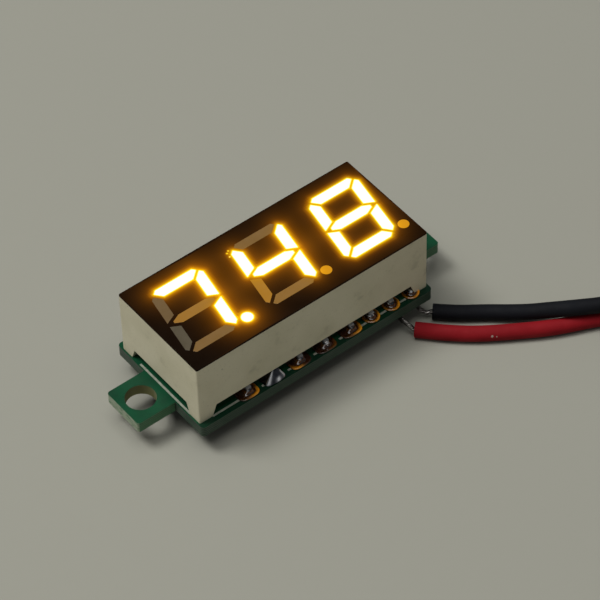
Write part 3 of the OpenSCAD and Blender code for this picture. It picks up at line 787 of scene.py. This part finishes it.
@dataclass
class DisplayPackage:
    """The display: reflector shell, glowing film, filled wells, inner board, potting, leads."""

    lit: Sequence[str] = (
        "1a", "1b", "1c", "1point", "2b", "2c", "2f", "2g", "3a", "3b", "3c", "3d", "3e", "3f", "3g",
    )
    leaks: dict[str, float] = field(
        default_factory=lambda: {
            "1d": 0.17, "1f": 0.09, "1g": 0.35, "2a": 0.17, "2d": 0.26, "2e": 0.44, "2point": 0.8, "3point": 0.8,
        }
    )
    bloom_reach: float = 0.22
    haze_reach: float = 0.75
    haze_share: Sequence[float] = (2.4, 2.1, 1.0)
    film_t: float = 0.12
    chip_room: float = 0.22
    well_mouth: float = 0.97
    well_taper: float = 0.6
    sink: float = 0.012
    spill_reach: float = 0.7
    grid: float = 0.22
    halo: Sequence[float] = (0.04, 0.09, 0.15)
    corner_r: float = 0.16
    # place and size of glow spots painted on the film, as of light through tiny holes; the film has no holes
    pinholes: Sequence[tuple[float, float, float]] = (
        (-1.95, 3.27, 0.08), (-2.18, 3.11, 0.09), (-2.24, 2.69, 0.07),
    )

    def __post_init__(self) -> None:
        """Reads the strokes' outlines from the frame."""
        self.strokes = [
            Stroke(
                f"digit_{d}_" + (s if s == "point" else f"segment_{s}"),
                Lamp.LIT if f"{d}{s}" in self.lit else Lamp.IDLE,
                self.leaks.get(f"{d}{s}", 0.0),
            )
            for d in (1, 2, 3)
            for s in (*"abcdefg", "point")
        ]
        for stroke in self.strokes:
            stroke.read_outline()

    def gaps(self, points: np.ndarray, lamps: Sequence[Lamp] = (Lamp.LIT,)) -> np.ndarray:
        """Gives the distance of each point from each stroke with these lamps, in millimetres."""
        return np.stack([s.distance(points) for s in self.strokes if s.lamp in lamps], -1)

    def fill(self, stroke: Stroke) -> None:
        """Builds the resin in one well.

        Its rings are the outline drawn to its middle: small over the chip, full at the film,
        then inwards over a face that sinks by a hundredth of a millimetre, as cured resin does.
        """
        low, high = span(stroke.node)
        ring = stroke.dense()
        middle = ring.mean(0)
        under = high[2] - self.film_t
        foot = self.well_mouth * self.well_taper
        levels = [(foot, low[2] + self.chip_room), (self.well_mouth, under), (1.0, under)]
        levels += [(1.0, high[2] - 0.01), (0.985, high[2])]
        levels += [(s, high[2] - self.sink * (1 - s)) for s in (0.96, 0.93, 0.88, 0.8, 0.65, 0.45, 0.2)]
        share, height = np.array(levels).T
        flat = middle + share[:, None, None] * (ring - middle)
        rings = np.concatenate([flat, np.broadcast_to(height[:, None, None], (*flat.shape[:2], 1))], -1)
        shell = loft(rings)
        places = shell[0][:, :2]
        if stroke.lamp is Lamp.LIT:
            finish, marks = LIT, {"inward": np.clip(-stroke.distance(places), 0, None)}
        else:
            near = np.exp(-np.clip(self.gaps(places).min(1), 0, None) / self.spill_reach)
            finish, marks = IDLE, {"spill": stroke.leak * (0.75 + 0.9 * near**2)}
        piece(stroke.node + "_resin", shell, finish, [stroke.node], marks)

    def film(self) -> None:
        """Builds the film: a triangulated plate with an opening for every stroke.

        Each point keeps its bloom, a painted glow of e to the minus its distance from the nearest lit
        stroke over the bloom's reach, and its haze, a weaker painted glow, the same with a longer reach
        and added over all of them, stronger on the two digits whose filling lets more light through.
        Glow spots painted at the pinholes are added to the bloom; the film has no holes there.
        """
        low, high = span("face_film")
        # the film's own outline: its points on the four sides and in the rounded corners
        rim = np.unique(np.round(corners("face_film")[:, :2], 4), axis=0)
        in_corner = (np.abs(rim) > high[:2] - self.corner_r).all(1)
        outer = rim[(np.abs(rim) > high[:2] - 0.001).any(1) | in_corner]
        outer = outer[np.argsort(np.arctan2(outer[:, 1], outer[:, 0]))]
        rings = [outer, *[s.dense() for s in self.strokes]]
        starts = np.cumsum([0, *[len(r) for r in rings]])
        edges = np.vstack([
            np.stack([np.arange(len(r)) + s, (np.arange(len(r)) + 1) % len(r) + s], -1)
            for s, r in zip(starts, rings, strict=False)
        ])
        x, y = (np.arange(low[k] + self.grid / 2, high[k], self.grid) for k in (0, 1))
        inner = np.stack(np.meshgrid(x, y), -1).reshape(-1, 2)
        lit = [s.lamp is Lamp.LIT for s in self.strokes]
        # points close round each lit stroke and each pinhole, where the glow changes fast
        close = [
            r + along(r - s.outline.mean(0)) * d
            for s, r, on in zip(self.strokes, rings[1:], lit, strict=True) if on for d in self.halo
        ]
        spoke = np.exp(1j * np.arange(0, 2 * np.pi, np.pi / 6))
        star = np.stack([spoke.real, spoke.imag], -1)
        close += [np.array([x, y]) + star * r * k for x, y, r in self.pinholes for k in (0.0001, 0.6, 1.2, 2.0)]
        free = np.vstack([inner, *close])
        clear = self.gaps(free, tuple(Lamp)).min(1) > 0.03
        free = free[clear & (np.abs(free) < high[:2] - 0.03).all(1)]
        points = np.vstack([*rings, free])
        result = delaunay_2d_cdt([Vector(p) for p in points.tolist()], edges.tolist(), [], 0, 1e-5)
        places, faces = np.array([tuple(v) for v in result[0]]), np.array(result[2])
        faces = faces[self.gaps(places[faces].mean(1), tuple(Lamp)).min(1) > 0]
        gaps = np.clip(self.gaps(places), 0, None)
        # painted glow spots at the pinholes, added to the bloom
        leaks = [0.75 * np.exp(-(((places - (x, y)) ** 2).sum(1)) / r**2) for x, y, r in self.pinholes]
        # the strokes stand in three even runs, one for each digit
        share = np.repeat(self.haze_share, len(lit) // len(self.haze_share))[lit]
        marks = {
            "bloom": np.clip(np.exp(-gaps.min(1) / self.bloom_reach) + sum(leaks), 0, 1),
            "haze": (share * np.exp(-gaps / self.haze_reach)).sum(1),
        }
        plate = (np.column_stack([places, np.full(len(places), high[2])]), faces.tolist())
        obj = piece("glowing_film", plate, FILM, ["face_film"], marks, crease=0)
        wall = obj.modifiers.new("thickness", "SOLIDIFY")
        wall.thickness, wall.offset = self.film_t * MM, -1.0

    def build(self) -> None:
        """Builds the display."""
        dress(["display_housing"], PLASTIC)
        self.film()
        for stroke in self.strokes:
            self.fill(stroke)
        dress(["inner_board"], MASK)
        dress(["light_chips"], CHIP)
        dress(["rear_potting"], POTTING)
        dress(["front_leads", "rear_leads"], TIN)


# ---- circuit board


@dataclass
class Ring:
    """One ring of a joint or of its flux: a radius at each angle, a shift along the row, a height
    and a mark at each angle."""

    radius: np.ndarray | float
    height: float
    shift: float = 0.0
    mark: np.ndarray | float = 0.0


@dataclass
class SolderRow:
    """The front row of joints: a small dome on each pad in a bowl of burnt flux, and one tall cone."""

    places: Sequence[float] = (-6.37, -3.83, -1.29, 1.25, 3.79, 5.79, 7.79, 9.79)
    cone: int = 1
    oblong: int = 5
    row: float = 4.7
    copper: float = 0.04
    below: float = 0.7
    lean: float = -0.26
    puddle_shift: float = -0.17
    sides: int = 48

    def __post_init__(self) -> None:
        """Cuts the circle into even angles."""
        self.angles = np.linspace(-np.pi, np.pi, self.sides, endpoint=False)

    def outline(self, half_x: float, half_y: float, power: float) -> np.ndarray:
        """Gives the radius of |x / half_x|^power + |y / half_y|^power = 1 at each angle."""
        x, y = np.abs(np.cos(self.angles) / half_x), np.abs(np.sin(self.angles) / half_y)
        return (x**power + y**power) ** (-1 / power)

    def towards(self, degrees: float, width: float) -> np.ndarray:
        """Gives a bell of this width in degrees round one direction: e to the minus its square."""
        away = (np.degrees(self.angles) - degrees + 180) % 360 - 180
        return np.exp(-((away / width) ** 2))

    def stack(self, x: float, rings: Sequence[Ring]) -> tuple[Shell, np.ndarray]:
        """Lofts rings round a joint's axis, and gives the closed shell and its points' marks."""
        a = self.angles
        flat = [
            np.stack([x + g.shift + g.radius * np.cos(a), -self.row + g.radius * np.sin(a), g.height + 0 * a], -1)
            for g in rings
        ]
        marks = [np.broadcast_to(g.mark, a.shape) for g in rings]
        return loft(np.array(flat)), np.concatenate([*marks, [marks[0].mean(), marks[-1].mean()]])

    def metal(self, i: int, x: float, rng: np.random.Generator, deck: float, under: float) -> tuple[Shell, np.ndarray]:
        """Builds one joint: the foot under the board, the plug in the hole and the dome or cone.

        Args:
            i: its number in the row.
            x: its place.
            rng: where its unevenness comes from.
            deck: height of the upper pads.
            under: height of the lower pads.

        Returns:
            A closed shell and its points' marks.
        """
        phase = rng.uniform(0, 2 * np.pi, 3)
        waves = zip((2, 3, 5), (0.05, 0.04, 0.03), phase, strict=True)
        uneven = 1 + sum(h * np.cos(n * self.angles + t) for n, h, t in waves)
        below = under - self.below
        # radius and height, from the lead's end up through the hole
        profile = [
            (0.02, below), (0.24, below), (0.3, below + 0.05), (0.36, below + 0.28), (0.46, below + 0.5),
            (0.58, under - 0.06), (0.645, under), (0.45, under), (0.45, deck - 0.01),
        ]
        foot = [Ring(r * uneven, z) for r, z in profile]
        if i == self.cone:
            base = self.outline(0.98, 0.76, 3.0)
            # ridges froze where the solder was drawn to the pad's corners; white painted highlights go on them, none
            # on the hollows
            ridges = 0.06 * self.towards(-142, 14) + 0.05 * self.towards(-36, 12) + 0.04 * self.towards(-86, 16)
            corner, right, front = self.towards(-140, 8), self.towards(-34, 9), self.towards(-78, 17)
            # share of the base, height and painted highlight
            steps = [
                (1.0, 0.0, 0), (1.03, 0.04, 0.3), (0.96, 0.13, 1), (0.84, 0.26, 1), (0.7, 0.42, 1),
                (0.54, 0.6, 1), (0.38, 0.8, 0.9), (0.22, 0.98, 0), (0.08, 1.05, 0),
            ]
            top = [
                Ring(k * base * (1 + ridges), deck + z, self.lean * (1 - z),
                     np.clip(corner + right * (z < 0.7) + front * (z < 0.3), 0, 1) * m)
                for k, z, m in steps
            ]
        else:
            k = rng.uniform(0.85, 1.25)
            # white painted highlights on the dome, towards two sides
            painted_glint = self.towards(rng.uniform(-170, -100), 26) + 0.7 * self.towards(rng.uniform(-70, 0), 16)
            rise = [
                (0.34, 0.0), (0.33, 0.08), (0.29, 0.18), (0.24, 0.28), (0.17, 0.35), (0.09, 0.385), (0.02, 0.39),
            ]
            top = [Ring(r * k * uneven, deck + z * k, 0.0, painted_glint) for r, z in rise]
        return self.stack(x, [*foot, *top])

    def flux(self, i: int, x: float, deck: float) -> tuple[Shell, np.ndarray]:
        """Builds the flux that set round one joint: thick and clear at its rim, with a painted highlight on some
        sides, burnt inside.

        Args:
            i: the joint's number in the row.
            x: its place.
            deck: height of the upper pads.

        Returns:
            A closed shell and its points' marks.
        """
        far = i < self.oblong
        edge = self.outline(0.97, 0.76, 3.4) if far else self.outline(0.735, 0.735, 2.0)
        shift = self.puddle_shift if far else 0.0
        # the rim's painted highlight, brighter towards a few directions round the joint
        glow = np.clip(self.towards(-48, 50) + 0.6 * self.towards(60, 30), 0, 1)
        if i == self.cone + 1:
            glow = 0.9 * self.towards(-125, 30)
        elif far:
            glow = glow * (0.12 if i == self.cone + 2 else 1.0)
        else:
            glow = 0.3 + 0.7 * glow
        # share of the edge, height and amber, which carries the painted highlight
        steps = [
            (0.4, 0.0, 0), (1.0, 0.0, 0.8), (1.01, 0.035, 1), (0.985, 0.08, 1), (0.93, 0.1, 1),
            (0.86, 0.085, 0.9), (0.78, 0.06, 0.5), (0.66, 0.05, 0), (0.55, 0.07, 0), (0.46, 0.13, 0.1),
        ]
        rings = [Ring(k * edge, deck + z, shift * min(1.0, k * 1.2), m * glow) for k, z, m in steps]
        rings += [Ring(0.33, deck + 0.22, 0.0, 0.1), Ring(0.27, deck + 0.2, 0.0, 0.0)]
        return self.stack(x, rings)

    def build(self) -> None:
        """Builds the joints and the flux."""
        low, high = span("main_board")
        deck, under = high[2] + self.copper, low[2] - self.copper
        rng = np.random.default_rng(7)
        metal = [self.metal(i, x, rng, deck, under) for i, x in enumerate(self.places)]
        flux = [self.flux(i, x, deck) for i, x in enumerate(self.places) if i != self.cone]
        self.put("front_joints", metal, SOLDER, ["front_solder"], "painted_glint")
        self.put("flux_bowls", flux, ROSIN, (), "clear")

    def put(
        self, name: str, parts: Sequence[tuple[Shell, np.ndarray]], finish: Finish, replaces: Sequence[str], mark: str
    ) -> None:
        """Makes one piece of several shells whose points keep a mark."""
        shells, marks = zip(*parts, strict=True)
        piece(name, join(shells), finish, replaces, {mark: np.concatenate(marks)})


@dataclass
class CircuitBoard:
    """The board with its ears, print, plated holes, joints and the parts underneath."""

    joints: SolderRow = field(default_factory=SolderRow)
    print_w: float = 0.18
    print_at: tuple[float, float] = (11.2, 5.0)
    print_end: tuple[float, float] = (-3.75, 2.75)
    print_front: tuple[tuple[float, float], ...] = (
        (-10.0, -7.49), (-5.25, -4.95), (-2.71, -2.41), (-0.17, 0.13),
        (2.37, 3.09), (4.49, 5.09), (6.49, 7.09), (8.49, 9.09),
    )
    print_back: tuple[tuple[float, float], ...] = ((-10.0, -8.8), (-6.56, -1.12), (1.12, 6.56), (8.8, 10.0))
    reservoir_end: float = -7.9
    reservoir_share: float = 0.78

    def outline(self) -> None:
        """Builds the printed outline: thin strips along the housing's walls, between feet and pads."""
        low, high = span("outline_print")
        (end, side), (a, b) = self.print_at, self.print_end
        runs = [(x, (a + b) / 2, self.print_w, b - a) for x in (-end, end)]
        for y, spans in ((-side, self.print_front), (side, self.print_back)):
            runs += [((a + b) / 2, y, b - a, self.print_w) for a, b in spans]
        x, y, wide, deep = np.array(runs).T[:, :, None]
        corner = np.array([[-1, -1], [1, -1], [1, 1], [-1, 1]]) / 2
        ring = np.stack([x + wide * corner[:, 0], y + deep * corner[:, 1]], -1)
        strips = [
            loft(np.stack([np.column_stack([r, np.full(4, z)]) for z in (low[2], high[2])])) for r in ring
        ]
        piece("printed_outline", join(strips), INK, ["outline_print"], crease=0)

    def reservoir_place(self, points: np.ndarray) -> np.ndarray:
        """Shortens the reservoir capacitor towards its inner end."""
        along_x = self.reservoir_end + (points[:, :1] - self.reservoir_end) * self.reservoir_share
        return np.hstack([along_x, points[:, 1:]])

    def build(self) -> None:
        """Dresses the board and builds its joints."""
        dress(["main_board"], MASK)
        self.outline()
        dress(["plated_holes", "wire_pads"], COPPER)
        dress(["rear_solder", "wire_solder"], SOLDER)
        packages = ("controller", "regulator", "diode")
        dress([f"{part}_body" for part in packages], MOULD)
        dress([f"{part}_leads" for part in packages], TIN)
        recast("reservoir_body", "reservoir_case", MOULD, self.reservoir_place)
        recast("reservoir_leads", "reservoir_ends", TIN, self.reservoir_place)
        dress(["resistor_ends", "capacitor_ends"], TIN)
        dress(["resistor_bodies"], GLAZE)
        dress(["capacitor_bodies"], CERAMIC)
        self.joints.build()


# ---- studio


@dataclass
class Studio:
    """A pale floor, soft light and the camera."""

    eye: tuple[float, float, float] = (-105.89, -145.04, 204.83)
    right: tuple[float, float, float] = (0.78648171, -0.61723801, -0.02153515)
    up: tuple[float, float, float] = (0.47097555, 0.57682878, 0.66742085)
    lens: float = 206.4
    sensor: float = 36.0
    clip: tuple[float, float] = (0.01, 20.0)
    floor_half: float = 2.0
    floor_colour: str = "#939286"
    sky: str = "#f1f3f6"
    sky_power: float = 0.16
    key_from: tuple[float, float, float] = (-0.36, 0.3, 0.88)
    key_size: float = 200.0
    key_power: float = 2.1
    top_from: tuple[float, float, float] = (-0.12, 0.02, 1.0)
    top_size: float = 480.0
    top_power: float = 1.7
    far: float = 600.0

    def camera(self) -> None:
        """Sets the camera: long lens, low and to the left of the front."""
        data = bpy.data.cameras.new("camera")
        data.lens, data.sensor_width = self.lens, self.sensor
        data.clip_start, data.clip_end = self.clip
        obj = stand("camera", data)
        right, up = Vector(self.right), Vector(self.up)
        turn = Matrix((right, up, right.cross(up))).transposed().to_4x4()
        obj.matrix_world = Matrix.Translation(Vector(self.eye) * MM) @ turn
        bpy.context.scene.camera = obj

    def floor(self) -> None:
        """Lays the floor at the resting surface."""
        mesh = bpy.data.meshes.new("floor")
        h = self.floor_half
        mesh.from_pydata([(-h, -h, 0), (h, -h, 0), (h, h, 0), (-h, h, 0)], [], [[0, 1, 2, 3]])
        colour = self.floor_colour
        paint = Finish("matt grey card", "", colour, colour, 4.0, 0.8, 0.02, grain=0.3, lift=0.0)
        mesh.materials.append(paint.material())
        obj = stand("floor", mesh)

    def light(self) -> None:
        """Lights from high at the back left, and a little from all round."""
        scene = bpy.context.scene
        scene.view_settings.view_transform = "Standard"
        world = bpy.data.worlds.new("studio")
        scene.world = world
        world.use_nodes = True
        sky = world.node_tree.nodes["Background"].inputs
        sky[0].default_value, sky[1].default_value = linear(self.sky), self.sky_power
        self.lamp("key", self.key_from, self.key_size, self.key_power)
        self.lamp("softbox", self.top_from, self.top_size, self.top_power)

    def lamp(self, name: str, way: tuple[float, float, float], size: float, power: float) -> None:
        """Adds a square lamp that faces the part, its side in millimetres and its power in watts."""
        data = bpy.data.lights.new(name, "AREA")
        data.size, data.energy = size * MM, power
        obj = stand(name, data)
        aim = Vector(way).normalized()
        obj.location = aim * self.far * MM
        obj.rotation_euler = aim.to_track_quat("Z", "Y").to_euler()


def main() -> None:
    """Builds the part in order."""
    logging.basicConfig(level=logging.INFO, format="%(message)s")
    studio = Studio()
    studio.camera()
    RED_WIRE.build()
    BLACK_WIRE.build()
    dress(["coil_tie"], NYLON)
    DisplayPackage().build()
    CircuitBoard().build()
    studio.floor()
    studio.light()


if __name__ == "__main__":
    main()
